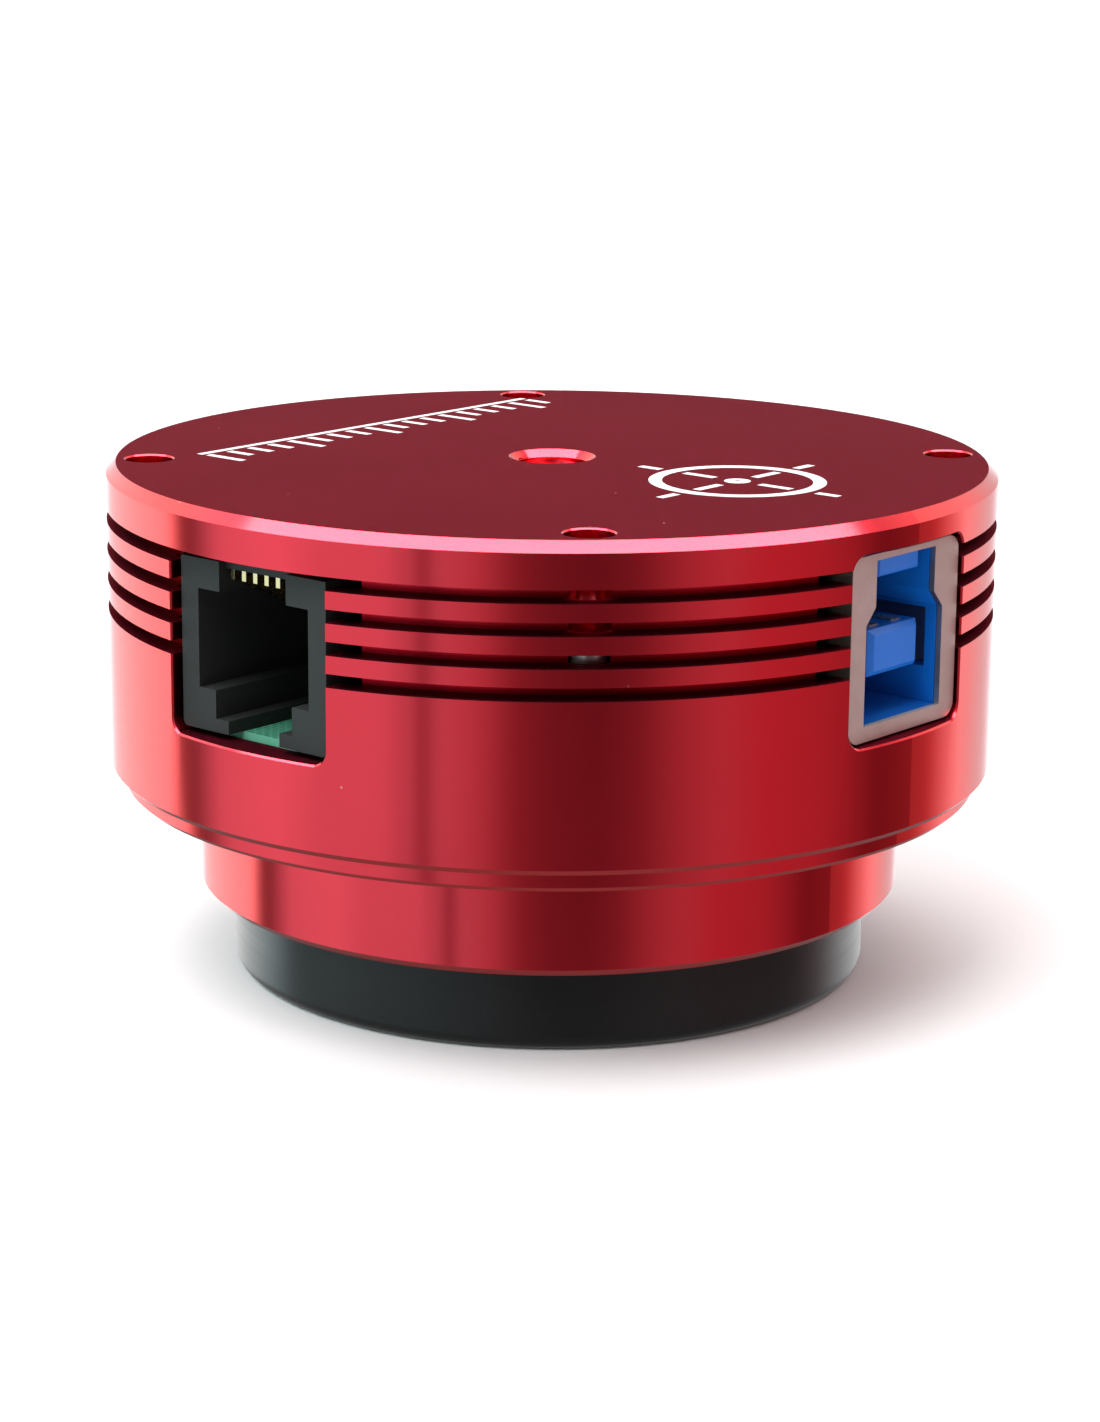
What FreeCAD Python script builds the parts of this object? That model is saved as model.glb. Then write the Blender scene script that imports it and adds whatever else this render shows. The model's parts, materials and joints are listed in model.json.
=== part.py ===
import FreeCAD, Part
import math
import os
from FreeCAD import Vector

# Round astronomy guide camera, millimetres, +Z up.
# The back plate is on top, the lens side points down, and the origin is the
# centre of the adapter ring's front rim, which is the plane of the lens flange.
# The guide socket looks along -Y and the data socket along +X.

# ---- driving dimensions ----------------------------------------------------
BODY_R = 31.0              # outer radius of the round body
TOTAL_H = 36.0             # lens flange to back plate
BODY_H = 21.4              # height of the full-diameter body
NOSE_R = 24.8              # outer radius of the nose barrel
RING_R = 22.5              # outer radius of the black adapter ring
RING_H = 5.7               # visible height of the adapter ring
SHIM_T = 0.2               # spacing shim between ring and nose
FLANGE_TO_SENSOR = 12.5    # optical distance from lens flange to sensor

THREAD_R = 21.0            # bore of the nose thread, M42 x 0.75
THREAD_PITCH = 0.75
THREAD_TURNS = 4           # turns that the ring takes to leave the nose
RUN_GAP = 0.05             # radial running clearance of the thread
LENS_R = 12.3              # wall radius of the 1 inch lens thread
TRIPOD_R = 2.55            # wall radius of the 1/4 inch tripod thread
TRIPOD_DEPTH = 6.0
TRIPOD_MOUTH = 0.5         # chamfer at the mouth of the tripod thread

WALL_R = 26.0              # radius of the main cavity
PLATE_T = 2.1              # thickness of the back plate
GROOVE_COUNT = 4
GROOVE_TOP = 3.0           # first groove's upper edge, below the back plate
GROOVE_W = 0.9
GROOVE_PITCH = 2.07
GROOVE_FLOOR_R = 29.0
WINDOW_EDGE = 0.12         # chamfer round the socket windows
EDGE = 0.7                 # chamfer round the back plate

FLANGE_R = 30.05           # front cover's flange, seated in the housing's rim
FLANGE_T = 3.0
FLANGE_PROUD = 1.3         # how far the flange stands below the rim
SIDE_GAP = 0.1             # side clearance of loose fits

CASE_SCREW_R = 28.0        # radius of the circle of case screws
CASE_SCREW_ANGLES = (45, 135, 225, 315)
CASE_SHANK_R = 0.8         # M1.6 cap screws hold the case
CASE_HEAD_R = 1.5
CASE_HEAD_H = 1.6
CASE_CLEARANCE = 0.08
M2_R = 1.0                 # M2 pan head screws hold the boards
SCREW_GAP = 0.03           # radial play of a screw in its tapped hole
COUNTERBORE_R = 1.65
COUNTERBORE_DEPTH = 8.6

BOARD_T = 1.6
BOARD_TOP = 21.1           # upper face of the main board
BOARD_R = 24.8
BOARD_SCREW_R = 22.0
SENSOR_BOARD_R = 18.4
SENSOR_SCREW_R = 15.8
SENSOR_SCREW_ANGLES = (90, 210, 330)

JACK_W, JACK_H, JACK_D = 13.0, 11.4, 17.6      # guide socket, width height depth
JACK_FACE = 29.6                               # distance of its face from the axis
USB_W, USB_H, USB_D = 12.0, 12.3, 17.8         # data socket, width height depth
USB_FACE = 30.1
USB_PLATE = 0.4                                 # thickness of its face plate
USB_LIFT = 0.25                                # data socket's shell above the board
WINDOW_GAP = 0.2                               # play of a socket in its window
JACK_GAP = 0.4                                 # play beside and below the guide socket
POCKET_R = 28.6                                # reach of the pockets behind windows
JACK_POCKET, USB_POCKET = 8.0, 7.0             # half widths of those pockets
TAB_GAP = 0.3                                  # board tab to the side of its pocket

WINDOW_GLASS_R = 10.8
WINDOW_GLASS_T = 1.1
PACKAGE_W = 11.4
DIE_X, DIE_Y = 7.0, 5.4

# ---- derived levels --------------------------------------------------------
RIM_Z = TOTAL_H - BODY_H
NOSE_Z = RING_H + SHIM_T
PLATE_Z = TOTAL_H - PLATE_T
FLANGE_Z = RIM_Z - FLANGE_PROUD
FLANGE_TOP = FLANGE_Z + FLANGE_T
SPIGOT_TOP = NOSE_Z + THREAD_PITCH * THREAD_TURNS
WEB_Z = SPIGOT_TOP + 0.3
LIP_T, LIP_R = 0.5, 9.5
WINDOW_Z = WEB_Z + 0.7
GASKET_T = 0.3
GASKET_Z = WINDOW_Z + WINDOW_GLASS_T
WEB_TOP = GASKET_Z + GASKET_T + LIP_T
SENSOR_BOARD_Z = FLANGE_TO_SENSOR + 0.8
SENSOR_BOARD_TOP = SENSOR_BOARD_Z + BOARD_T
BOARD_Z = BOARD_TOP - BOARD_T
USB_BASE = BOARD_TOP + USB_LIFT
COVER_POCKET_R = 19.2
UP = Vector(0, 0, 1)


# ---- helpers ---------------------------------------------------------------
def cyl(radius, z0, z1, x=0.0, y=0.0):
    return Part.makeCylinder(radius, z1 - z0, Vector(x, y, z0), UP)


def tube(outer, inner, z0, z1, x=0.0, y=0.0):
    return cyl(outer, z0, z1, x, y).cut(cyl(inner, z0 - 1, z1 + 1, x, y))


def box(x0, x1, y0, y1, z0, z1):
    return Part.makeBox(x1 - x0, y1 - y0, z1 - z0, Vector(x0, y0, z0))


def centred(x, y, z, dx, dy, dz):
    return box(x - dx / 2, x + dx / 2, y - dy / 2, y + dy / 2, z, z + dz)


def lathe(points):
    """Solid of revolution about Z from closed (radius, z) points."""
    outline = [Vector(r, 0, z) for r, z in points]
    wire = Part.makePolygon(outline + [outline[0]])
    return Part.Face(wire).revolve(Vector(0, 0, 0), UP, 360)


def prism_y(points, y0, y1):
    """Prism along Y from closed (x, z) points."""
    outline = [Vector(x, y0, z) for x, z in points]
    face = Part.Face(Part.makePolygon(outline + [outline[0]]))
    return face.extrude(Vector(0, y1 - y0, 0))


def prism_x(points, x0, x1):
    """Prism along X from closed (y, z) points."""
    outline = [Vector(x0, y, z) for y, z in points]
    face = Part.Face(Part.makePolygon(outline + [outline[0]]))
    return face.extrude(Vector(x1 - x0, 0, 0))


def turned(shape, degrees):
    copy = shape.copy()
    copy.rotate(Vector(0, 0, 0), UP, degrees)
    return copy


def ring_of(shape, angles):
    return [turned(shape, angle) for angle in angles]


def moved(shape, x, y, z):
    copy = shape.copy()
    copy.translate(Vector(x, y, z))
    return copy


def joined(shapes):
    return shapes[0].multiFuse(shapes[1:]).removeSplitter()


def cut_all(shape, tools):
    return shape.cut(Part.makeCompound(tools))


def save(node, shapes):
    """Write one sub-part; a list of shapes stays a group of separate solids."""
    shape = Part.makeCompound(shapes) if isinstance(shapes, list) else shapes
    solids = shape.Solids
    bad = [s for s in solids if not s.isValid() or s.Volume <= 0]
    if not solids or bad:
        raise ValueError(f"{node}: not a clean solid")
    out = solids[0] if len(solids) == 1 else Part.makeCompound(solids)
    out.exportStep(f"parts/{node}.step")
    print(f"{node:24s} solids {len(solids):3d}  volume {shape.Volume:10.2f}")


def edges_where(shape, test):
    return [edge for edge in shape.Edges if test(edge)]


def rounded_block(width, height, y0, y1, z0, radius, upper=True):
    """Block along Y with rounded lower corners, and upper ones if asked."""
    shape = box(-width / 2, width / 2, y0, y1, z0, z0 + height)

    def matches(edge):
        a, b = edge.Vertexes[0].Point, edge.Vertexes[-1].Point
        along_y = abs(a.x - b.x) < 1e-6 and abs(a.z - b.z) < 1e-6
        return along_y and (upper or a.z < z0 + 1e-6)
    return shape.makeFillet(radius, edges_where(shape, matches))


def to_data_side(shape):
    """Carry a shape built on the -Y side round to the +X side."""
    return turned(shape, 90)


# ---- fasteners -------------------------------------------------------------
def socket_screw(x, y, seat_z, tip_z):
    """M1.6 cap screw standing on Z, its head's underside at seat_z."""
    head = cyl(CASE_HEAD_R, seat_z, seat_z + CASE_HEAD_H, x, y)
    around = 2 * math.pi * CASE_HEAD_R
    head = head.makeChamfer(0.15, edges_where(
        head, lambda e: abs(e.Length - around) < 0.1 and e.BoundBox.ZMin > seat_z + 1))
    shank = cyl(CASE_SHANK_R, tip_z, seat_z, x, y)
    hexagon = Part.makePolygon([
        Vector(x + 0.85 * math.cos(math.radians(a)), y + 0.85 * math.sin(math.radians(a)),
               seat_z + CASE_HEAD_H - 0.8) for a in range(0, 361, 60)])
    recess = Part.Face(hexagon).extrude(Vector(0, 0, 1))
    return joined([head, shank]).cut(recess)


def pan_screw(x, y, seat_z, tip_z):
    """M2 pan head screw with a cross recess."""
    head = cyl(1.8, seat_z, seat_z + 1.2, x, y)
    head = head.makeFillet(0.5, edges_where(head, lambda e: abs(e.BoundBox.ZMin - seat_z - 1.2) < 1e-6))
    shank = cyl(M2_R, tip_z, seat_z, x, y)
    slots = [centred(x, y, seat_z + 0.6, 2.2, 0.45, 1), centred(x, y, seat_z + 0.6, 0.45, 2.2, 1)]
    return cut_all(joined([head, shank]), slots)


def on_circle(radius, degrees):
    a = math.radians(degrees)
    return radius * math.cos(a), radius * math.sin(a)


# ---- housing ---------------------------------------------------------------
def rear_housing():
    shell = lathe([
        (0, TOTAL_H), (BODY_R - EDGE, TOTAL_H), (BODY_R, TOTAL_H - EDGE),
        (BODY_R, RIM_Z + 0.4), (BODY_R - 0.4, RIM_Z), (FLANGE_R + SIDE_GAP, RIM_Z),
        (FLANGE_R + SIDE_GAP, FLANGE_TOP), (WALL_R, FLANGE_TOP), (WALL_R, PLATE_Z), (0, PLATE_Z)])
    boss = cyl(6.0, PLATE_Z - 4.9, PLATE_Z + 0.5)
    windows, pockets = socket_windows()
    shell = cut_all(joined([shell, boss]), windows)
    shell = shell.makeChamfer(WINDOW_EDGE, edges_where(shell, on_window_rim))

    cuts = pockets + [groove(TOTAL_H - GROOVE_TOP - i * GROOVE_PITCH) for i in range(GROOVE_COUNT)]
    cuts += ring_of(case_screw_hole(), CASE_SCREW_ANGLES)
    cuts.append(lathe([
        (0, TOTAL_H - TRIPOD_DEPTH), (TRIPOD_R, TOTAL_H - TRIPOD_DEPTH), (TRIPOD_R, TOTAL_H - TRIPOD_MOUTH),
        (TRIPOD_R + TRIPOD_MOUTH, TOTAL_H), (TRIPOD_R + TRIPOD_MOUTH, TOTAL_H + 1), (0, TOTAL_H + 1)]))
    return cut_all(shell, cuts)


def on_window_rim(edge):
    """True for the edges where a socket window meets the outside of the wall."""
    ends = [vertex.Point for vertex in edge.Vertexes]
    outside = all(abs(math.hypot(p.x, p.y) - BODY_R) < 1e-5 for p in ends)
    beside_window = all(RIM_Z + 2 < p.z < TOTAL_H - EDGE - 0.1 for p in ends)
    seam = len(ends) == 2 and abs(ends[0].z - ends[1].z) > USB_H + 2
    return outside and beside_window and not seam


def groove(top):
    """Cutter for one cooling groove."""
    low, outer = top - GROOVE_W, BODY_R + 0.5
    return lathe([(GROOVE_FLOOR_R, low), (outer, low), (outer, top), (GROOVE_FLOOR_R, top)])


def case_screw_hole():
    """Clearance hole through the wall, with a deep counterbore from the back plate."""
    mouth = Part.makeCone(COUNTERBORE_R, COUNTERBORE_R + 0.2, 0.2,
                          Vector(CASE_SCREW_R, 0, TOTAL_H - 0.1), UP)
    return joined([
        cyl(CASE_SHANK_R + CASE_CLEARANCE, FLANGE_TOP - 1, TOTAL_H - 1, CASE_SCREW_R, 0),
        cyl(COUNTERBORE_R, TOTAL_H - COUNTERBORE_DEPTH, TOTAL_H + 0.1, CASE_SCREW_R, 0), mouth])


def socket_windows():
    """Windows in the wall and the pockets behind them, for both sockets."""
    jack_w, jack_h = JACK_W + 2 * JACK_GAP, JACK_H + JACK_GAP + WINDOW_GAP
    jack_window = rounded_block(jack_w, jack_h, -BODY_R - 1, -WALL_R + 2, BOARD_TOP - JACK_GAP, 1.0, False)
    jack_pocket = box(-JACK_POCKET, JACK_POCKET, -POCKET_R, -WALL_R + 4, FLANGE_TOP - 0.1, PLATE_Z)
    usb_w, usb_h = USB_W + 2 * WINDOW_GAP, USB_H + 2 * WINDOW_GAP
    usb_window = rounded_block(usb_w, usb_h, -BODY_R - 1, -WALL_R + 2, USB_BASE - WINDOW_GAP, 1.2)
    usb_pocket = box(-USB_POCKET, USB_POCKET, -POCKET_R, -WALL_R + 4, FLANGE_TOP - 0.1, PLATE_Z)
    return [jack_window, to_data_side(usb_window)], [jack_pocket, to_data_side(usb_pocket)]


def front_cover():
    body = lathe([
        (LIP_R, WEB_TOP), (LIP_R, WEB_TOP - LIP_T), (WINDOW_GLASS_R + SIDE_GAP, WEB_TOP - LIP_T),
        (WINDOW_GLASS_R + SIDE_GAP, WINDOW_Z), (11.35, WINDOW_Z), (11.35, WEB_Z), (THREAD_R, WEB_Z),
        (THREAD_R, NOSE_Z + 0.4), (THREAD_R + 0.4, NOSE_Z), (NOSE_R - 0.5, NOSE_Z), (NOSE_R, NOSE_Z + 0.5),
        (NOSE_R, FLANGE_Z), (FLANGE_R - 0.3, FLANGE_Z), (FLANGE_R, FLANGE_Z + 0.3),
        (FLANGE_R, FLANGE_TOP), (COVER_POCKET_R, FLANGE_TOP), (COVER_POCKET_R, WEB_TOP)])
    bosses = [cyl(2.6, FLANGE_TOP - 0.5, BOARD_Z, *on_circle(BOARD_SCREW_R, a))
              for a in CASE_SCREW_ANGLES]
    pads = [cyl(2.2, WEB_TOP - 0.5, SENSOR_BOARD_Z, *on_circle(SENSOR_SCREW_R, a))
            for a in SENSOR_SCREW_ANGLES]
    body = joined([body] + bosses + pads)
    tapped = M2_R + SCREW_GAP
    holes = [cyl(CASE_SHANK_R + SCREW_GAP, FLANGE_Z + 0.4, FLANGE_TOP + 1, *on_circle(CASE_SCREW_R, a))
             for a in CASE_SCREW_ANGLES]
    holes += [cyl(tapped, FLANGE_Z + 1, BOARD_Z + 1, *on_circle(BOARD_SCREW_R, a))
              for a in CASE_SCREW_ANGLES]
    holes += [cyl(tapped, WEB_Z + 1, SENSOR_BOARD_Z + 1, *on_circle(SENSOR_SCREW_R, a))
              for a in SENSOR_SCREW_ANGLES]
    return cut_all(body, holes)


def case_screws():
    seat = TOTAL_H - COUNTERBORE_DEPTH
    screw = socket_screw(CASE_SCREW_R, 0, seat, FLANGE_Z + 0.6)
    return ring_of(screw, CASE_SCREW_ANGLES)


def adapter_ring():
    spigot_r = THREAD_R - RUN_GAP
    round_r = 1.0
    outline = [
        Vector(LENS_R + 0.4, 0, 0), Vector(RING_R - round_r, 0, 0), Vector(RING_R, 0, round_r),
        Vector(RING_R, 0, RING_H - 0.3), Vector(RING_R - 0.3, 0, RING_H), Vector(spigot_r - 0.4, 0, RING_H),
        Vector(spigot_r - 0.4, 0, NOSE_Z + 0.2), Vector(spigot_r, 0, NOSE_Z + 0.4),
        Vector(spigot_r, 0, SPIGOT_TOP - 0.4), Vector(spigot_r - 0.4, 0, SPIGOT_TOP),
        Vector(14.0, 0, SPIGOT_TOP), Vector(14.0, 0, RING_H), Vector(LENS_R, 0, RING_H - 0.4),
        Vector(LENS_R, 0, 0.4)]
    edges = [Part.LineSegment(a, b).toShape() for a, b in zip(outline, outline[1:] + outline[:1])]
    centre = Vector(RING_R - round_r, 0, round_r)
    middle = centre + Vector(round_r * math.sqrt(0.5), 0, -round_r * math.sqrt(0.5))
    edges[1] = Part.Arc(outline[1], middle, outline[2]).toShape()
    ring = Part.Face(Part.Wire(edges)).revolve(Vector(0, 0, 0), UP, 360)
    notch = box(15.4, 18.6, -1.0, 1.0, -1, 0.8)
    return cut_all(ring, ring_of(notch, (0, 180)))


def focus_shim():
    return tube(RING_R - 0.3, THREAD_R + 0.1, RING_H, NOSE_Z)


def window_glass():
    glass = cyl(WINDOW_GLASS_R, WINDOW_Z, GASKET_Z)
    around = 2 * math.pi * WINDOW_GLASS_R
    return glass.makeChamfer(0.12, edges_where(glass, lambda e: abs(e.Length - around) < 0.1))


def window_gasket():
    return tube(WINDOW_GLASS_R, LIP_R + 0.1, GASKET_Z, GASKET_Z + GASKET_T)


def window_retaining_ring():
    ring = tube(11.3, 9.3, WEB_Z + 0.05, WINDOW_Z)
    notch = box(10.1, 12, -0.6, 0.6, WEB_Z - 1, WEB_Z + 0.4)
    return cut_all(ring, ring_of(notch, (90, 270)))


# ---- sensor ----------------------------------------------------------------
def sensor_board():
    board = cyl(SENSOR_BOARD_R, SENSOR_BOARD_Z, SENSOR_BOARD_TOP)
    holes = [cyl(1.1, 0, TOTAL_H, *on_circle(SENSOR_SCREW_R, a)) for a in SENSOR_SCREW_ANGLES]
    return cut_all(board, holes)


def sensor_package():
    front = FLANGE_TO_SENSOR - 0.6
    body = centred(0, 0, front, PACKAGE_W, PACKAGE_W, SENSOR_BOARD_Z - front)
    glass_seat = centred(0, 0, front - 1, PACKAGE_W - 1.2, PACKAGE_W - 1.2, 1.4)
    cavity = centred(0, 0, front, DIE_X + 1.2, DIE_Y + 1.6, FLANGE_TO_SENSOR + 0.3 - front)
    return cut_all(body, [glass_seat, cavity])


def sensor_die():
    return centred(0, 0, FLANGE_TO_SENSOR, DIE_X, DIE_Y, 0.3)


def sensor_cover_glass():
    front = FLANGE_TO_SENSOR - 0.6
    side = PACKAGE_W - 1.3
    return centred(0, 0, front, side, side, 0.4)


def sensor_board_screws():
    return [pan_screw(*on_circle(SENSOR_SCREW_R, a), SENSOR_BOARD_TOP, WEB_Z + 1.3)
            for a in SENSOR_SCREW_ANGLES]


def sensor_capacitors():
    """Ceramic chips round the image sensor, on the board's front face."""
    return [centred(side * 7.2, y, SENSOR_BOARD_Z - 0.5, 0.8, 1.6, 0.5)
            for side in (-1, 1) for y in (-3.6, 0, 3.6)]


def sensor_regulators():
    return [centred(x, -8.5, SENSOR_BOARD_TOP, 2.9, 1.6, 1.1) for x in (-5, 0, 5)]


def board_header():
    """Plug of the board-to-board connector, on the sensor board."""
    body = centred(0, 7.5, SENSOR_BOARD_TOP, 15, 4, 1.6)
    return cut_all(body, [centred(0, 7.5, SENSOR_BOARD_TOP + 0.4, 13.6, 2.6, 2)])


def board_socket():
    """Socket of the board-to-board connector, under the main board."""
    base = centred(0, 7.5, SENSOR_BOARD_TOP + 1.65, 15, 4, BOARD_Z - SENSOR_BOARD_TOP - 1.65)
    tongue = centred(0, 7.5, SENSOR_BOARD_TOP + 0.6, 13.4, 2.4, 1.2)
    return joined([base, tongue])


# ---- main board ------------------------------------------------------------
def main_board():
    disc = cyl(BOARD_R, BOARD_Z, BOARD_TOP)
    jack_half, usb_half = JACK_POCKET - TAB_GAP, USB_POCKET - TAB_GAP
    jack_tab = box(-jack_half, jack_half, -POCKET_R + 0.4, 0, BOARD_Z, BOARD_TOP)
    usb_tab = to_data_side(box(-usb_half, usb_half, -POCKET_R + 0.4, 0, BOARD_Z, BOARD_TOP))
    board = joined([disc, jack_tab, usb_tab])
    holes = [cyl(1.1, 0, TOTAL_H, *on_circle(BOARD_SCREW_R, a)) for a in CASE_SCREW_ANGLES]
    return cut_all(board, holes + guide_jack_contacts() + jack_pegs() + usb_contacts() + usb_legs())


def main_board_screws():
    return [pan_screw(*on_circle(BOARD_SCREW_R, a), BOARD_TOP, FLANGE_Z + 1.6)
            for a in CASE_SCREW_ANGLES]


def usb_controller_chip():
    return centred(-4, 4, BOARD_TOP, 10, 10, 1.0)


def frame_memory_chip():
    return centred(-4, 15.5, BOARD_TOP, 8, 10, 1.0)


def leaded_chip(x, y, length, width, height, pins):
    """Small outline chip with gull-wing leads along its two long sides."""
    parts = [centred(x, y, BOARD_TOP + 0.1, length, width, height)]
    step = length / pins
    for i in range(pins):
        px = x - length / 2 + (i + 0.5) * step
        for side in (-1, 1):
            foot = centred(px, y + side * (width / 2 + 0.45), BOARD_TOP, 0.4, 0.9, 0.15)
            leg = centred(px, y + side * (width / 2 + 0.1), BOARD_TOP, 0.4, 0.2, height / 2 + 0.2)
            parts += [foot, leg]
    return joined(parts)


def firmware_memory_chip():
    return leaded_chip(5, 18, 4.9, 3.9, 1.5, 4)


def guide_optocouplers():
    places = ((-19.6, -6), (-19.6, 1), (-13.6, -9), (-13.6, -2))
    return [leaded_chip(x, y, 2.8, 3.4, 1.9, 2) for x, y in places]


def clock_crystal():
    base = centred(5.2, 6.5, BOARD_TOP, 3.2, 2.5, 0.3)
    lid = centred(5.2, 6.5, BOARD_TOP + 0.3, 2.8, 2.1, 0.4)
    return joined([base, lid])


def power_inductors():
    coils = []
    for x, y in ((10.5, -9.5), (10.5, 10.5)):
        block = centred(x, y, BOARD_TOP, 4, 4, 2)
        upright = [e for e in block.Edges if abs(e.BoundBox.ZLength - 2) < 1e-3]
        coils.append(block.makeFillet(0.8, upright))
    return coils


def power_regulators():
    return [leaded_chip(x, y, 2.9, 1.6, 1.1, 3) for x, y in ((4.5, -7.5), (17, 9.5), (10.5, -14.5))]


def bulk_capacitors():
    return [centred(x, y, BOARD_TOP, 3.2, 1.6, 1.6)
            for x, y in ((-10.5, 13.5), (-8.5, -14.5), (-3, -7.5), (12, 15.5))]


def ceramic_capacitors():
    """Decoupling capacitors in two rows beside the controller chip."""
    rows = [(x, y) for y in (-3.2, 11 - 1.4) for x in (-8.5, -6.3, -4.1, -1.9)]
    return [centred(x, y, BOARD_TOP, 1.0, 0.5, 0.5) for x, y in rows]


# ---- guide socket, six-way modular jack -------------------------------------
def guide_jack_body():
    """Moulded body: plug cavity with a contact slot above and a latch notch below."""
    block = rounded_block(JACK_W, JACK_H, 0, JACK_D, 0, 0.4, False)
    depth = 12.6
    cuts = [
        box(-4.95, 4.95, -1, depth, 2.8, JACK_H - 2.0),
        box(-3.0, 3.0, -1, depth, JACK_H - 2.1, JACK_H - 0.5),
        box(-3.0, 3.0, -1, 0.6, JACK_H - 0.6, JACK_H + 1),
        box(-3.45, 3.45, -1, depth, 0.9, 2.9),
        box(-2.3, 2.3, -1, 9.0, -1, 1.0)]
    placed = moved(cut_all(block, cuts), 0, -JACK_FACE, BOARD_TOP)
    return cut_all(joined([placed] + jack_pegs()), guide_jack_contacts())


def jack_pegs():
    """Two moulded pegs that locate the body in the main board."""
    return [cyl(1.5, BOARD_Z - 0.8, BOARD_TOP + 0.5, side * 4.4, 8.6 - JACK_FACE) for side in (-1, 1)]


def guide_jack_contacts():
    """Six spring wires that slope down into the cavity, with tails through the board."""
    wire = 0.36
    tail_low = -2.2
    top = JACK_H - 0.86
    path = [
        (0.8, top), (0.8, top - wire), (10.3, top - 4.6), (10.6, top - 4.3), (1.9, top), (14.2, top),
        (14.2, tail_low), (14.2 + wire, tail_low), (14.2 + wire, top + wire), (0.8, top + wire)]
    pitch = 1.02
    wires = []
    for i in range(6):
        x = (i - 2.5) * pitch
        shape = prism_x(path, x - wire / 2, x + wire / 2)
        wires.append(moved(shape, 0, -JACK_FACE, BOARD_TOP))
    return wires


# ---- data socket, type B with the extra upper row ---------------------------
def usb_opening(y0, y1):
    """Stepped mouth of the socket: wide below, narrow above, slanted between."""
    wide, narrow, top = 4.3, 3.3, USB_H - 0.45
    return prism_y([(-wide, 1.0), (wide, 1.0), (wide, 7.7), (narrow, 8.8), (narrow, top),
                    (-narrow, top), (-narrow, 8.8), (-wide, 7.7)], y0, y1)


def place_usb(shape):
    return to_data_side(moved(shape, 0, -USB_FACE, USB_BASE))


def usb_shell():
    """Nickel shell: face plate with the mouth, folded walls, open underneath at the back."""
    block = rounded_block(USB_W, USB_H, 0, USB_D, 0, 1.1)
    wall = 0.4
    inside = box(-USB_W / 2 + wall, USB_W / 2 - wall, USB_PLATE, USB_D - wall, wall, USB_H - wall)
    inside = inside.makeFillet(0.7, [e for e in inside.Edges if abs(e.BoundBox.YLength) > 5])
    under = box(-4.6, 4.6, 12.8, USB_D - wall, -1, wall + 0.1)
    shell = cut_all(block, [inside, usb_opening(-1, USB_PLATE + 0.1), under])
    return joined([place_usb(shell)] + usb_legs())


def usb_legs():
    """Four shell legs, soldered through the main board."""
    return [place_usb(box(side * 5.8 - 0.2, side * 5.8 + 0.2, y, y + 1.6, -BOARD_T - USB_LIFT - 0.5, 1.5))
            for side in (-1, 1) for y in (6.0, 14.5)]


def usb_insulator():
    """Blue moulding: lining of the mouth with the main tongue and the upper tongue."""
    front = USB_PLATE + 0.05
    lining = box(-USB_W / 2 + 0.45, USB_W / 2 - 0.45, front, USB_D - 0.5, 0.45, USB_H - 0.45)
    lining = lining.makeFillet(0.65, [e for e in lining.Edges if abs(e.BoundBox.YLength) > 5])
    springs = [box(side * 5.0 - 0.8, side * 5.0 + 0.8, 1.3, 9.5, 3.4, 7.4) for side in (-1, 1)]
    lining = cut_all(lining, [usb_opening(0, 13.0)] + springs)
    main_tongue = blunted(box(-2.7, 2.7, 0.7, 13.2, 3.9, 7.0), 0.7, 0.35)
    upper_tongue = blunted(box(-2.3, 2.3, 0.6, 13.2, USB_H - 1.8, USB_H - 0.5), 0.6, 0.15)
    block = joined([lining, main_tongue, upper_tongue])
    return cut_all(place_usb(block), usb_contacts())


def blunted(tongue, front, size):
    """Breaks the edges round a tongue's front face."""
    return tongue.makeChamfer(size, [e for e in tongue.Edges if e.BoundBox.YMax < front + 0.01])


def usb_contacts():
    """Four contacts on the main tongue and five under the upper tongue, with board tails."""
    strips = []
    thick, tail_low = 0.2, -BOARD_T - USB_LIFT - 0.7
    upper = USB_H - 1.9
    for x in (-1.25, 1.25):
        for z, y_tail in ((6.9, 15.6), (3.8, 13.9)):
            strips.append(joined([
                box(x - 0.5, x + 0.5, 1.6, y_tail, z, z + thick),
                box(x - 0.25, x + 0.25, y_tail - 0.4, y_tail, tail_low, z + thick)]))
    for i in range(5):
        x = (i - 2) * 0.9
        strips.append(joined([
            box(x - 0.25, x + 0.25, 1.2, 16.8, upper, upper + thick),
            box(x - 0.2, x + 0.2, 16.5, 16.8, tail_low, upper + thick)]))
    return [place_usb(strip) for strip in strips]


# ---- build -----------------------------------------------------------------
SUB_PARTS = (
    rear_housing, front_cover, case_screws, adapter_ring, focus_shim,
    window_glass, window_gasket, window_retaining_ring,
    sensor_board, sensor_package, sensor_die, sensor_cover_glass, sensor_board_screws,
    sensor_capacitors, sensor_regulators, board_header, board_socket,
    main_board, main_board_screws, usb_controller_chip, frame_memory_chip,
    firmware_memory_chip, guide_optocouplers, clock_crystal, power_inductors,
    power_regulators, bulk_capacitors, ceramic_capacitors,
    guide_jack_body, guide_jack_contacts, usb_shell, usb_insulator, usb_contacts)

os.makedirs("parts", exist_ok=True)
for make in SUB_PARTS:
    save(make.__name__, make())
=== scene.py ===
import json
import math

import bmesh
import bpy
from mathutils import Matrix, Vector


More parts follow.
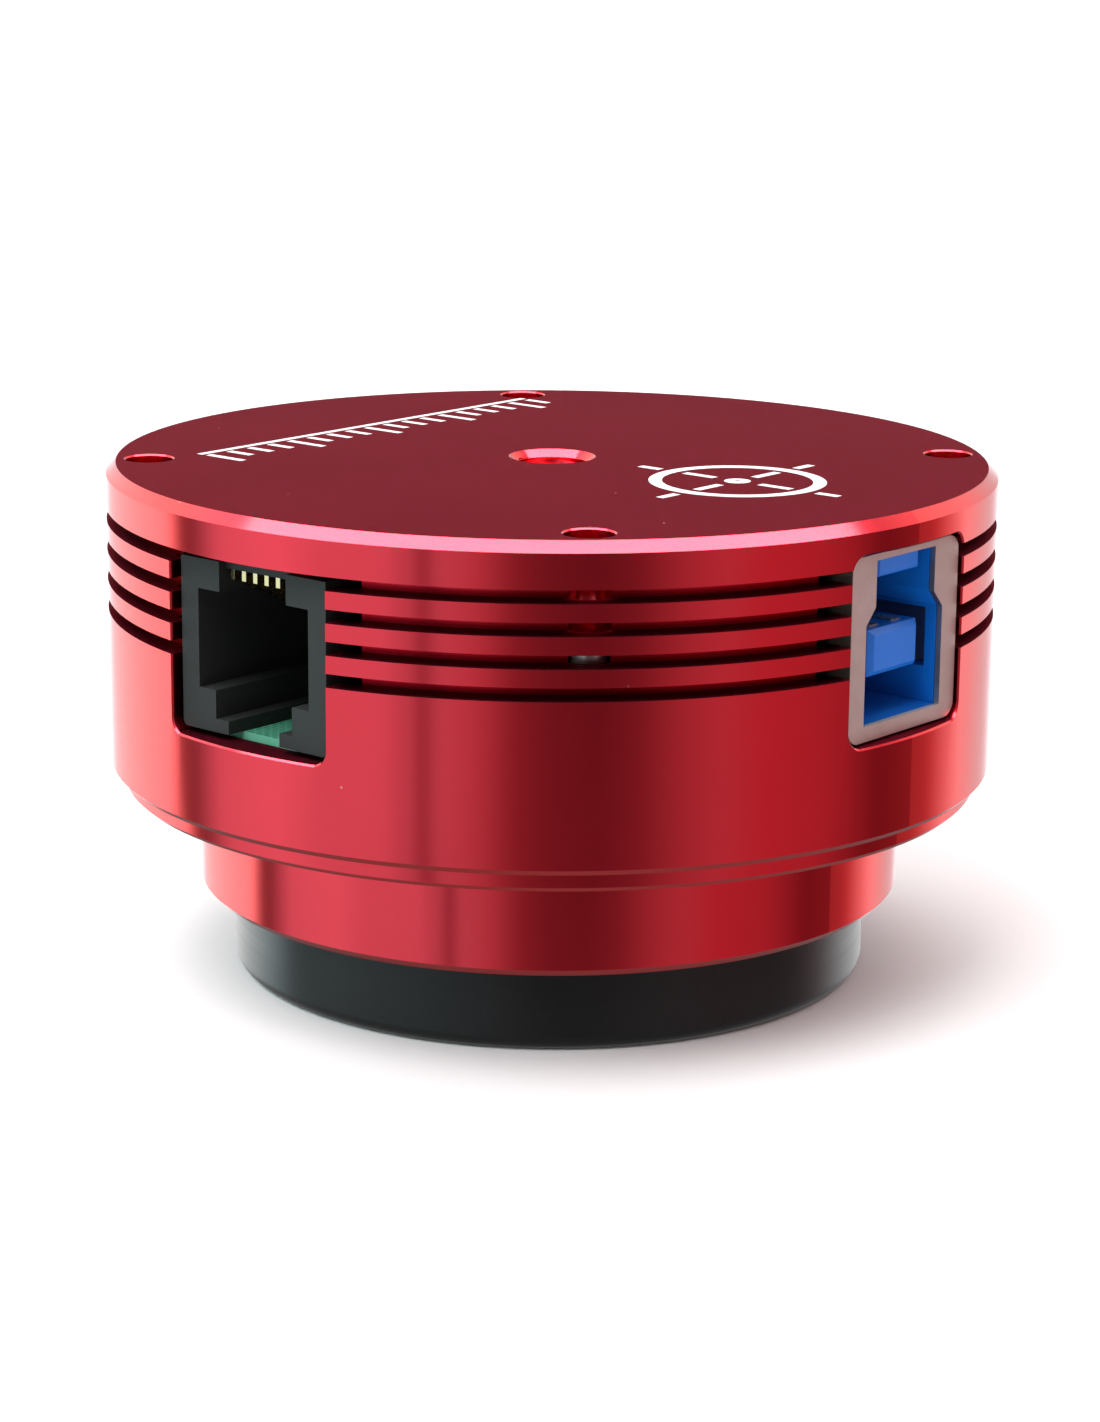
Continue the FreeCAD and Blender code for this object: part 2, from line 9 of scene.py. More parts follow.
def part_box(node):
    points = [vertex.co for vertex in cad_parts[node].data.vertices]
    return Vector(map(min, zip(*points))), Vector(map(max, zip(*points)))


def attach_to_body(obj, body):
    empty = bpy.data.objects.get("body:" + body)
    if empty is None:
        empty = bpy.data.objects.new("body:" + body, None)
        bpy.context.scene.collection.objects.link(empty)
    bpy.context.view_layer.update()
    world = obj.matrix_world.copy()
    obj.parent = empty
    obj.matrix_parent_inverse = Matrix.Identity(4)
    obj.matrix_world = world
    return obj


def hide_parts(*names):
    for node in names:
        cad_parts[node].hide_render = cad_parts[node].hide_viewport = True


# Looks of a round astronomy guide camera. Lengths are in metres, +Z up.

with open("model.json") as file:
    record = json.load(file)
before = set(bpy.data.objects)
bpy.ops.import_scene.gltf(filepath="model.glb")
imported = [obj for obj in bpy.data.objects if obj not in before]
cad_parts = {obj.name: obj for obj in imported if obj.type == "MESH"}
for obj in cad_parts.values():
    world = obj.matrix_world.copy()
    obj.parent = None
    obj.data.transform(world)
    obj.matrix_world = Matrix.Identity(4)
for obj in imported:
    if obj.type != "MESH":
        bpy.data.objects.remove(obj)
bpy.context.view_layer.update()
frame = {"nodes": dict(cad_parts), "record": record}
MM = 0.001

BACK_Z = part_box("rear_housing")[1].z              # outer face of the back plate
RING_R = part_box("adapter_ring")[1].x
SPIGOT_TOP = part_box("adapter_ring")[1].z
SHOULDER_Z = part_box("focus_shim")[0].z            # the ring's shoulder
NOSE_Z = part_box("focus_shim")[1].z                # the nose's end


# ---- camera and floor --------------------------------------------------------
VIEW_AZIMUTH = math.radians(40.2)                 # from the guide socket towards the data socket
VIEW_DISTANCE = 240.0 * MM                        # across the floor, from the object's axis
VIEW_HEIGHT = 41.4 * MM                           # above the back plate
VIEW_ROLL = math.radians(0.5)
AIM_SHARE = 0.49                                  # of the object's height
LENS_MM, SENSOR_MM = 88, 36
CLIP_NEAR, CLIP_FAR = 0.01, 50

FLOOR_R = 6.0
FLOOR_GAP = 0.05 * MM
FLOOR_ALBEDO, FLOOR_ROUGHNESS = 0.90, 0.9


def add_camera():
    data = bpy.data.cameras.new("view")
    camera = bpy.data.objects.new("view", data)
    bpy.context.scene.collection.objects.link(camera)
    camera.location = (VIEW_DISTANCE * math.sin(VIEW_AZIMUTH), -VIEW_DISTANCE * math.cos(VIEW_AZIMUTH),
                       BACK_Z + VIEW_HEIGHT)
    aim = (Vector((0, 0, AIM_SHARE * BACK_Z)) - camera.location).to_track_quat("-Z", "Y")
    camera.rotation_euler = (aim.to_matrix() @ Matrix.Rotation(VIEW_ROLL, 3, "Z")).to_euler()
    data.lens, data.sensor_width = LENS_MM, SENSOR_MM
    data.clip_start, data.clip_end = CLIP_NEAR, CLIP_FAR
    bpy.context.scene.camera = camera


def add_floor():
    mesh = bmesh.new()
    bmesh.ops.create_circle(mesh, cap_ends=True, segments=96, radius=FLOOR_R)
    floor = finished("floor", mesh)
    floor.location.z = -FLOOR_GAP
    floor.data.materials.append(paper("floor_paper", (FLOOR_ALBEDO,) * 3, FLOOR_ROUGHNESS))
    floor.visible_glossy = False     # gloss shows the studio's panels, not the floor under the object


# ---- light -------------------------------------------------------------------
WORLD_STRENGTH = 1.65
COOL, PLAIN, WARM, RED = (0.88, 1.13, 1.15), (1.0, 1.0, 1.0), (1.0, 0.78, 0.78), (1.0, 0.45, 0.48)

# Panels round the studio: degrees to the right of the view direction, brightness and tint.
STUDIO_BANDS = (
    (-180, 0.90, PLAIN), (-140, 1.60, PLAIN), (-114, 1.90, COOL), (-107, 0.20, COOL), (-102, 0.22, COOL),
    (-92, 0.80, COOL), (-72, 0.92, COOL), (-60, 0.76, COOL), (-50, 0.76, COOL), (-40, 0.62, COOL),
    (-35, 0.60, COOL), (-32, 0.16, COOL), (-28, 0.62, COOL), (-18, 0.44, PLAIN), (-9, 0.19, WARM),
    (0, 0.115, WARM), (12, 0.09, WARM), (22, 0.14, WARM), (34, 0.33, WARM), (44, 0.42, WARM),
    (56, 0.42, RED), (74, 0.36, RED), (84, 0.24, RED), (92, 0.13, RED), (102, 0.18, RED), (114, 0.50, RED),
    (130, 1.25, PLAIN), (158, 1.0, PLAIN))

# Heights run from 0, straight down, over 0.5, the horizon, to 1, straight up.
PANEL_SHARE = ((0.28, 0), (0.34, 1), (0.80, 1), (0.93, 0))
PLAIN_LEVEL = ((0.40, 0.25), (0.60, 0.85))


def studio_stops():
    """Ramp stops over one turn; 0 faces the guide socket and 0.25 the data socket."""
    stops = []
    for angle, level, tint in STUDIO_BANDS:
        share = (math.degrees(VIEW_AZIMUTH) + angle) / 360 % 1
        stops.append((share, tuple(level * part for part in tint)))
    return sorted(stops)


def add_world():
    """Studio surround: panels round the sides, plain below and above them."""
    world = bpy.data.worlds.new("studio")
    bpy.context.scene.world = world
    world.use_nodes = True
    tree = world.node_tree
    tree.nodes.clear()
    g = Graph(tree)
    x, y, z = g.split(g.node("ShaderNodeTexCoord").outputs["Generated"])
    turn = g.math("DIVIDE", g.math("ARCTAN2", x, g.math("MULTIPLY", y, -1)), 2 * math.pi)
    panels = g.ramp(g.math("FRACT", g.math("ADD", turn, 1.0)), studio_stops())
    height = g.stretched(z, 0.5, offset=0.5)
    background = g.node("ShaderNodeBackground")
    surround = g.mix(g.ramp(height, PANEL_SHARE), g.ramp(height, PLAIN_LEVEL), panels)
    g.link(surround, background.inputs["Color"])
    background.inputs["Strength"].default_value = WORLD_STRENGTH
    g.link(background.outputs[0], g.node("ShaderNodeOutputWorld").inputs["Surface"])


def add_area(name, right, elevation, distance, size, power, glossy):
    """Soft box that looks at the object, either seen in gloss only or lighting dull surfaces only.

    Angles are in degrees, right counts from the view direction.
    """
    light = bpy.data.lights.new(name, "AREA")
    light.shape = "RECTANGLE"
    light.size, light.size_y = size
    light.energy = power
    box = bpy.data.objects.new(name, light)
    a, e = VIEW_AZIMUTH + math.radians(right), math.radians(elevation)
    box.location = Vector((math.sin(a) * math.cos(e), -math.cos(a) * math.cos(e), math.sin(e))) * distance
    box.rotation_euler = (-box.location).to_track_quat("-Z", "Y").to_euler()
    box.visible_diffuse = not glossy
    box.visible_glossy = glossy
    bpy.context.scene.collection.objects.link(box)


# ---- node helpers ------------------------------------------------------------
def opaque(value):
    """Full alpha for a colour; a number or socket as it is."""
    return (*value, 1) if isinstance(value, tuple) else value


class Graph:
    """Short ways to add and join shader nodes in one tree."""

    def __init__(self, tree):
        self.tree = tree

    def node(self, kind, **settings):
        node = self.tree.nodes.new(kind)
        for key, value in settings.items():
            setattr(node, key, value)
        return node

    def link(self, source, target):
        self.tree.links.new(source, target)

    def feed(self, socket, value):
        if isinstance(value, bpy.types.NodeSocket):
            self.link(value, socket)
        else:
            socket.default_value = value

    def math(self, operation, a, b=0.0):
        node = self.node("ShaderNodeMath", operation=operation)
        self.feed(node.inputs[0], a)
        self.feed(node.inputs[1], b)
        return node.outputs[0]

    def stretched(self, value, factor, offset):
        return self.math("ADD", self.math("MULTIPLY", value, factor), offset)

    def split(self, vector):
        node = self.node("ShaderNodeSeparateXYZ")
        self.link(vector, node.inputs[0])
        return node.outputs

    def place(self):
        return self.node("ShaderNodeTexCoord").outputs["Object"]

    def ramp(self, factor, stops, ease="LINEAR"):
        node = self.node("ShaderNodeValToRGB")
        node.color_ramp.interpolation = ease
        elements = node.color_ramp.elements
        while len(elements) < len(stops):
            elements.new(0.5)
        for element, (position, colour) in zip(elements, stops):
            element.position = position
            element.color = opaque(colour if isinstance(colour, tuple) else (colour,) * 3)
        self.link(factor, node.inputs[0])
        return node.outputs[0]

    def mix(self, factor, a, b):
        node = self.node("ShaderNodeMix", data_type="RGBA")
        self.feed(node.inputs[0], factor)
        self.feed(node.inputs[6], opaque(a))
        self.feed(node.inputs[7], opaque(b))
        return node.outputs[2]

    def blend(self, factor, a, b):
        node = self.node("ShaderNodeMix", data_type="FLOAT")
        self.feed(node.inputs[0], factor)
        self.feed(node.inputs[2], a)
        self.feed(node.inputs[3], b)
        return node.outputs[0]

    def scaled(self, vector, factors):
        node = self.node("ShaderNodeVectorMath", operation="MULTIPLY")
        self.link(vector, node.inputs[0])
        node.inputs[1].default_value = factors
        return node.outputs[0]

    def noise(self, vector, scale, detail=2.0, roughness=0.5):
        node = self.node("ShaderNodeTexNoise")
        self.link(vector, node.inputs["Vector"])
        node.inputs["Scale"].default_value = scale
        node.inputs["Detail"].default_value = detail
        node.inputs["Roughness"].default_value = roughness
        return node.outputs["Fac"]

    def turned(self, place, scale):
        """Noise in rings round the optical axis, stacked along Z and by radius."""
        x, y, z = self.split(place)
        squares = self.math("ADD", self.math("MULTIPLY", x, x), self.math("MULTIPLY", y, y))
        node = self.node("ShaderNodeCombineXYZ")
        self.link(z, node.inputs[0])
        self.link(self.math("SQRT", squares), node.inputs[1])
        return self.noise(self.scaled(node.outputs[0], (scale, scale, 1)), scale=1.0, detail=3, roughness=0.6)

    def bricks(self, place, first, second, between, scale, gap, offset):
        """Rectangular cells of two colours, with a gap between them; gives colour and gap."""
        node = self.node("ShaderNodeTexBrick", offset=offset)
        self.link(self.scaled(place, (scale, scale, scale)), node.inputs["Vector"])
        node.inputs["Scale"].default_value = 1.0
        node.inputs["Mortar Size"].default_value = gap
        for socket, colour in (("Color1", first), ("Color2", second), ("Mortar", between)):
            node.inputs[socket].default_value = opaque(colour)
        return node.outputs["Color"], node.outputs["Fac"]

    def bump(self, height, distance, strength):
        node = self.node("ShaderNodeBump")
        node.inputs["Strength"].default_value = strength
        node.inputs["Distance"].default_value = distance
        self.link(height, node.inputs["Height"])
        return node.outputs[0]


def new_material(name, **settings):
    """Principled material; settings name its sockets, with underscores for spaces."""
    material = bpy.data.materials.new(name)
    material.use_nodes = True
    shader = material.node_tree.nodes["Principled BSDF"]
    for key, value in settings.items():
        shader.inputs[key.replace("_", " ")].default_value = opaque(value)
    return material, Graph(material.node_tree), shader


def surface(g, shader, colour, roughness, relief):
    for socket, source in (("Base Color", colour), ("Roughness", roughness), ("Normal", relief)):
        g.link(source, shader.inputs[socket])


# ---- materials ---------------------------------------------------------------
GRAIN_DEPTH = 0.02 * MM
MOULD_DEPTH = 0.03 * MM
FACING_UP = 0.9                      # least upward part of the plate's normal

SIDE_REDS = (0.60, 0.006, 0.022), (0.68, 0.009, 0.029)
# painted shade: upward faces take the same anodised red, made much darker
SHADED_PLATE_REDS = (0.088, 0.007, 0.014), (0.112, 0.010, 0.020)
SIDE_COAT, PLATE_COAT = 0.56, 0.025
SPECK = (0.62, 0.30, 0.30)
BLACKS = (0.007, 0.007, 0.0075), (0.014, 0.014, 0.015)
DRAWN_NICKELS = (0.52, 0.48, 0.44), (0.64, 0.60, 0.56)
# painted shade for the outside of the folded side walls, where the body's grooves shade them
SHADED_WALL_NICKELS = (0.16, 0.13, 0.11), (0.22, 0.19, 0.16)
WALL_SKIN = 0.05 * MM                # what counts as the outside of a folded wall
ARRAY_HALF_X, ARRAY_HALF_Y = 2.9 * MM, 2.2 * MM
# painted sheen: the pixel grid's coloured reflection, laid into the base colour along x + y
PAINTED_ARRAY_SHEEN = ((0.0, (0.10, 0.05, 0.16)), (0.4, (0.05, 0.16, 0.17)), (0.7, (0.09, 0.17, 0.06)),
               (1.0, (0.18, 0.09, 0.05)))
PAD_GOLDS = (0.55, 0.40, 0.16), (0.45, 0.34, 0.15)
PAD_GAP = (0.02, 0.02, 0.025)


def circumferential(g, shader, blasted=None):
    """Grain that runs round the optical axis, as turning leaves it, and every way where blasted."""
    tangent = g.node("ShaderNodeTangent", direction_type="RADIAL", axis="Z").outputs[0]
    if blasted is not None:
        every_way = g.node("ShaderNodeTexNoise")
        g.link(g.place(), every_way.inputs["Vector"])
        every_way.inputs["Scale"].default_value = 20000
        offset = g.node("ShaderNodeVectorMath", operation="SUBTRACT")
        g.link(every_way.outputs["Color"], offset.inputs[0])
        offset.inputs[1].default_value = (0.5, 0.5, 0.5)
        node = g.node("ShaderNodeMix", data_type="VECTOR")
        g.link(blasted, node.inputs[0])
        g.link(tangent, node.inputs[4])
        g.link(offset.outputs[0], node.inputs[5])
        tangent = node.outputs[1]
    g.link(tangent, shader.inputs["Tangent"])


def dust_specks(g, place):
    """A few tiny specks scattered over the surface, fading at their edges."""
    cells = g.node("ShaderNodeTexVoronoi")
    g.link(place, cells.inputs["Vector"])
    cells.inputs["Scale"].default_value = 300
    return g.ramp(cells.outputs["Distance"], [(0.012, 0.8), (0.028, 0)])


def red_anodised(name):
    """Turned and anodised: glossy with fine rings on the side, blasted and satin on the back plate, with
    painted shade that makes every upward face a much darker red.
    """
    material, g, shader = new_material(
        name, Metallic=1.0, Anisotropic=0.75, Anisotropic_Rotation=0.25, Coat_Roughness=0.12, Coat_IOR=1.6,
        Specular_Tint=(0.40, 0.05, 0.09))
    place = g.place()
    normal = g.node("ShaderNodeNewGeometry").outputs["True Normal"]
    flat = g.math("GREATER_THAN", g.split(normal)[2], FACING_UP)
    g.link(g.blend(flat, SIDE_COAT, PLATE_COAT), shader.inputs["Coat Weight"])

    cloud = g.noise(place, scale=90, detail=4)
    # painted shade: upward faces, the back plate among them, get the much darker plate red
    red = g.mix(flat, g.mix(cloud, *SIDE_REDS), g.mix(cloud, *SHADED_PLATE_REDS))
    rings = g.turned(place, scale=9000)
    grain = g.noise(place, scale=9000, roughness=0.6)
    surface(g, shader, g.mix(dust_specks(g, place), red, SPECK),
            g.blend(flat, g.stretched(rings, 0.10, offset=0.15), g.stretched(grain, 0.12, offset=0.42)),
            g.bump(g.blend(flat, rings, grain), GRAIN_DEPTH, strength=0.12))
    circumferential(g, shader, flat)
    return material


def black_anodised(name):
    """Satin black anodising with fine turning rings."""
    material, g, shader = new_material(
        name, Metallic=0.5, Anisotropic=0.5, Anisotropic_Rotation=0.25, Coat_Weight=0.05, Coat_Roughness=0.3,
        Specular_IOR_Level=0.4)
    place = g.place()
    rings = g.turned(place, scale=7000)
    grain = g.noise(place, scale=6000)
    surface(g, shader, g.mix(grain, *BLACKS), g.stretched(rings, 0.14, offset=0.30),
            g.bump(g.math("ADD", rings, grain), GRAIN_DEPTH, strength=0.12))
    circumferential(g, shader)
    return material


def metal(name, dark, light, roughness, scale):
    """Bare or plated metal: mottled colour, roughness from low to high and a fine grain."""
    material, g, shader = new_material(name, Metallic=1.0)
    place = g.place()
    low, high = roughness
    fine = g.noise(place, scale=9 * scale)
    surface(g, shader, g.mix(g.noise(place, scale, detail=4), dark, light),
            g.stretched(fine, high - low, offset=low), g.bump(fine, GRAIN_DEPTH, strength=0.1))
    return material


def plated_shell(name):
    """Nickel plate: satin and bright, with painted shade: the outside of the folded side walls gets a much
    darker colour.
    """
    material, g, shader = new_material(name, Metallic=1.0)
    place = g.place()
    cloud = g.noise(place, scale=700, detail=4)
    fine = g.noise(place, scale=6300)
    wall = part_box("usb_shell")[1].y - WALL_SKIN
    outside = g.math("GREATER_THAN", g.math("ABSOLUTE", g.split(place)[1]), wall)
    # painted shade: the outside of the folded walls takes the much darker nickel
    surface(g, shader, g.mix(outside, g.mix(cloud, *DRAWN_NICKELS), g.mix(cloud, *SHADED_WALL_NICKELS)),
            g.stretched(fine, 0.20, offset=0.34), g.bump(fine, GRAIN_DEPTH, strength=0.1))
    return material


def moulded(name, dark, light, roughness, **settings):
    """Moulded plastic or epoxy with a faint spark-eroded grain."""
    material, g, shader = new_material(name, **settings)
    place = g.place()
    fine = g.noise(place, scale=6000)
    surface(g, shader, g.mix(g.noise(place, scale=150, detail=3), dark, light),
            g.stretched(fine, 0.12, offset=roughness - 0.06), g.bump(fine, MOULD_DEPTH, strength=0.15))
    return material


def laminate(name, mask_dark, mask_light, copper):
    """Solder mask over copper: faint square-routed traces under a glossy lacquer."""
    material, g, shader = new_material(name, Coat_Weight=0.4, Coat_Roughness=0.15)
    place = g.place()
    traces, gap = g.bricks(place, mask_dark, mask_light, copper, scale=700, gap=0.06, offset=0.5)
    weave = g.noise(place, scale=2500)
    surface(g, shader, traces, g.stretched(weave, 0.15, offset=0.3),
            g.bump(g.math("ADD", gap, weave), MOULD_DEPTH, strength=0.2))
    return material


def optical_glass(name):
    """Coated glass: clear, with the faint tint of its reflection coating and a little dust."""
    material, g, shader = new_material(
        name, IOR=1.52, Transmission_Weight=1.0, Coat_Weight=0.3, Coat_Roughness=0.02)
    dust = g.noise(g.place(), scale=900, detail=3)
    g.link(g.mix(dust, (0.90, 1.0, 0.95), (0.97, 1.0, 0.98)), shader.inputs["Base Color"])
    g.link(g.math("MULTIPLY", g.math("POWER", dust, 6.0), 0.25), shader.inputs["Roughness"])
    return material


def pixel_array(name):
    """Image sensor die: dark, with a painted sheen of its pixel grid laid into the base colour, and a gold
    pad border.
    """
    material, g, shader = new_material(name, Metallic=0.85, Roughness=0.18)
    place = g.place()
    x, y = g.split(place)[:2]
    inside = g.math("MULTIPLY", g.math("LESS_THAN", g.math("ABSOLUTE", x), ARRAY_HALF_X),
                    g.math("LESS_THAN", g.math("ABSOLUTE", y), ARRAY_HALF_Y))
    # painted sheen across the pixel array
    sheen = g.ramp(g.stretched(g.math("ADD", x, y), 90, offset=0.5), PAINTED_ARRAY_SHEEN, "EASE")
    pads = g.bricks(place, *PAD_GOLDS, PAD_GAP, scale=3500, gap=0.12, offset=0.0)[0]
    g.link(g.mix(inside, pads, sheen), shader.inputs["Base Color"])
    return material


def paper(name, colour, roughness):
    """Matt paper, very slightly uneven."""
    material, g, shader = new_material(name, Roughness=roughness)
    shade = tuple(part * 0.985 for part in colour)
    g.link(g.mix(g.noise(g.place(), scale=40, detail=3), shade, colour), shader.inputs["Base Color"])
    return material


MATERIALS = {
    "red_anodised": red_anodised("red_anodised_turned"),
    "black_anodised": black_anodised("black_anodised_satin"),
    "screw_steel": metal("stainless_steel", (0.26, 0.23, 0.23), (0.36, 0.33, 0.33),
                         roughness=(0.14, 0.28), scale=900),
    "zinc_steel": metal("zinc_plated_steel", (0.50, 0.50, 0.47), (0.66, 0.66, 0.62),
                        roughness=(0.2, 0.4), scale=900),
    "optical_glass": optical_glass("coated_glass"),
    "gasket_rubber": moulded("black_rubber", (0.015, 0.015, 0.015), (0.03, 0.03, 0.03), roughness=0.8),
    "board_laminate": laminate("green_laminate", (0.015, 0.16, 0.09), (0.022, 0.21, 0.12),
                               (0.12, 0.42, 0.28)),
    "sensor_laminate": laminate("black_laminate", (0.008, 0.009, 0.010), (0.012, 0.013, 0.015),
                                (0.03, 0.03, 0.03)),
    "ceramic_body": moulded("ceramic", (0.58, 0.54, 0.46), (0.68, 0.64, 0.56), roughness=0.5),
    "capacitor_ceramic": moulded("fired_ceramic", (0.36, 0.25, 0.16), (0.46, 0.34, 0.22), roughness=0.45),
    "silicon": pixel_array("sensor_die"),
    "chip_epoxy": moulded("chip_epoxy", (0.018, 0.018, 0.02), (0.035, 0.035, 0.037), roughness=0.55),
    "connector_plastic": moulded("connector_plastic", (0.55, 0.50, 0.38), (0.65, 0.60, 0.47), roughness=0.45),
    "tantalum_case": moulded("tantalum_case", (0.70, 0.38, 0.06), (0.80, 0.46, 0.10), roughness=0.35),
    "ferrite": moulded("ferrite", (0.05, 0.05, 0.055), (0.10, 0.10, 0.105), roughness=0.6),
    "nickel": plated_shell("nickel_plate"),
    "gold_contact": metal("gold_flash", (0.62, 0.48, 0.25), (0.74, 0.60, 0.36),
                          roughness=(0.18, 0.34), scale=1500),
    "jack_plastic": moulded("jack_plastic", (0.009, 0.0105, 0.010), (0.016, 0.018, 0.017), roughness=0.62,
                            Specular_IOR_Level=0.35),
    "blue_plastic": moulded("blue_plastic", (0.003, 0.11, 0.48), (0.006, 0.15, 0.60), roughness=0.34,
                            Specular_IOR_Level=0.3),
}


def dress_nodes():
    slots = {row["node"]: row["material_slot"] for row in frame["record"]["subparts"]}
    for name, node in frame["nodes"].items():
        node.material_slots[0].material = MATERIALS[slots[name]]


# ---- mesh helpers ------------------------------------------------------------
COLUMNS = 96                         # steps round a circle
CREASE = math.radians(32)            # edges sharper than this stay sharp


def finished(name, mesh):
    data = bpy.data.meshes.new(name)
    bmesh.ops.recalc_face_normals(mesh, faces=mesh.faces)
    mesh.to_mesh(data)
    mesh.free()
    piece = bpy.data.objects.new(name, data)
    bpy.context.scene.collection.objects.link(piece)
    return piece


def round_off(piece):
    piece.data.shade_smooth()
    piece.data.set_sharp_from_angle(angle=CREASE)


def attach(piece, body, slot):
    piece.data.materials.append(MATERIALS[slot])
    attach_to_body(piece, body)


def carve(piece, cutter):
    """Takes the cutter's shape out of the piece."""
    cut = piece.modifiers.new("cut", "BOOLEAN")
    cut.object = cutter
    cut.solver = "EXACT"
    evaluated = piece.evaluated_get(bpy.context.evaluated_depsgraph_get())
    carved = bpy.data.meshes.new_from_object(evaluated)
    piece.modifiers.clear()
    piece.data = carved
    bpy.data.objects.remove(cutter)


def add_block(mesh, low, high):
    corners = [mesh.verts.new((x, y, z))
               for x in (low[0], high[0]) for y in (low[1], high[1]) for z in (low[2], high[2])]
    for loop in ((0, 1, 3, 2), (4, 6, 7, 5), (0, 4, 5, 1), (2, 3, 7, 6), (0, 2, 6, 4), (1, 5, 7, 3)):
        mesh.faces.new([corners[i] for i in loop])


def add_section(mesh, outline, angle, centre=Vector((0, 0))):
    """Points of an outline, given as radius and height, at an angle round an upright axis."""
    return [mesh.verts.new((centre.x + r * math.cos(angle), centre.y + r * math.sin(angle), z))
            for r, z in outline]


def join_sections(mesh, sections):
    for a, b in zip(sections, sections[1:]):
        for j in range(len(a)):
            k = (j + 1) % len(a)
            mesh.faces.new((a[j], b[j], b[k], a[k]))


def add_band(mesh, centre, inner, outer, low, high):
    """Flat closed ring."""
    outline = ((inner, low), (outer, low), (outer, high), (inner, high))
    sections = [add_section(mesh, outline, 2 * math.pi * i / COLUMNS, centre) for i in range(COLUMNS)]
    join_sections(mesh, sections + sections[:1])


# ---- screw threads -----------------------------------------------------------
NOSE_PITCH = 0.75 * MM
LENS_PITCH = 25.4 / 32 * MM
TRIPOD_PITCH = 25.4 / 20 * MM
THREAD_DEPTH = 0.42 * MM
THREAD_FADE = 0.45 * MM              # run-in of the ring's threads
THREAD_PROFILE = ((0.06, 0), (0.44, 1), (0.56, 1), (0.94, 0))    # share of the pitch, share of the depth

# the ring
RING_COLUMNS = 192
RING_EDGE = 0.15 * MM
RING_ROUND = 1.0 * MM
ROUND_STEPS = 8
SPIGOT_R = 20.95 * MM
SPIGOT_BORE = 14.0 * MM
SPIGOT_START = NOSE_Z + 0.1 * MM
LENS_WALL_R = 12.3 * MM
LENS_RUNOUT = 0.5 * MM
NOTCH_FROM, NOTCH_TO = 15.4 * MM, 18.6 * MM
NOTCH_HALF, NOTCH_DEPTH = 1.0 * MM, 0.8 * MM
OVERCUT = 1.0 * MM
SEAM = 0.002 * MM                    # points closer than this are one, which closes the seam

# the ridges in the nose and in the tripod hole; flanks are half widths at the wall and at the crest
RIDGE_SET = 0.03 * MM                # depth in the wall
RIDGE_FADE = 40                      # steps of run-in
NOSE_START = 0.4                     # of a turn, which puts the ridge between the spigot's turns
NOSE_BORE = 21.0 * MM
NOSE_RIDGE, NOSE_FLANKS = 0.36 * MM, (0.28 * MM, 0.06 * MM)
NOSE_RELIEF = 0.1 * MM
TRIPOD_R = 2.55 * MM
TRIPOD_RIDGE, TRIPOD_FLANKS = 0.28 * MM, (0.55 * MM, 0.10 * MM)
TRIPOD_DEEP, TRIPOD_SHALLOW = 5.4 * MM, 0.9 * MM                 # below the back plate


def thread_rows(turn, low, high, pitch, root, crest):
    """Outline of a right-hand thread at a share of a turn, from low to high: it climbs a pitch a turn."""
    rows = [(root, low)]
    for k in range(-1, math.ceil((high - low) / pitch) + 1):
        for share, height in THREAD_PROFILE:
            z = min(max(low + (k + share + turn) * pitch, low), high)
            fade = min(1, (z - low) / THREAD_FADE, (high - z) / THREAD_FADE)
            rows.append((root + (crest - root) * height * fade, z))
    return rows + [(root, high)]


def ring_outline(turn):
    """The ring's cross-section at a share of a turn: outside, shoulder, spigot, bore, lens thread."""
    lens_root, spigot_root = LENS_WALL_R + THREAD_DEPTH, SPIGOT_R - THREAD_DEPTH
    rounding = []
    for i in range(ROUND_STEPS + 1):
        a = math.radians(90 * i / ROUND_STEPS)
        rounding.append((RING_R - RING_ROUND * (1 - math.sin(a)), RING_ROUND * (1 - math.cos(a))))
    spigot = thread_rows(turn, SPIGOT_START, SPIGOT_TOP - RING_EDGE, NOSE_PITCH, spigot_root, SPIGOT_R)
    lens = thread_rows(turn, RING_EDGE, SHOULDER_Z - LENS_RUNOUT, LENS_PITCH, lens_root, LENS_WALL_R)
    return [
        (lens_root + RING_EDGE, 0), *rounding,
        (RING_R, SHOULDER_Z - 2 * RING_EDGE), (RING_R - 2 * RING_EDGE, SHOULDER_Z),
        (spigot_root, SHOULDER_Z), *spigot,
        (spigot_root - RING_EDGE, SPIGOT_TOP), (SPIGOT_BORE + RING_EDGE, SPIGOT_TOP),
        (SPIGOT_BORE, SPIGOT_TOP - RING_EDGE), (SPIGOT_BORE, SHOULDER_Z),
        (lens_root, SHOULDER_Z), *reversed(lens)]


def add_adapter_ring():
    mesh = bmesh.new()
    sections = []
    for i in range(RING_COLUMNS + 1):
        turn = i / RING_COLUMNS
        sections.append(add_section(mesh, ring_outline(turn), 2 * math.pi * turn))
    join_sections(mesh, sections)
    bmesh.ops.remove_doubles(mesh, verts=mesh.verts, dist=SEAM)
    ring = finished("adapter_ring_threaded", mesh)

    keys = bmesh.new()
    for side in (-1, 1):
        left, right = sorted((side * NOTCH_FROM, side * NOTCH_TO))
        add_block(keys, (left, -NOTCH_HALF, -OVERCUT), (right, NOTCH_HALF, NOTCH_DEPTH))
    carve(ring, finished("wrench_notches", keys))
    round_off(ring)
    attach(ring, "ring", "black_anodised")
    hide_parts("adapter_ring")


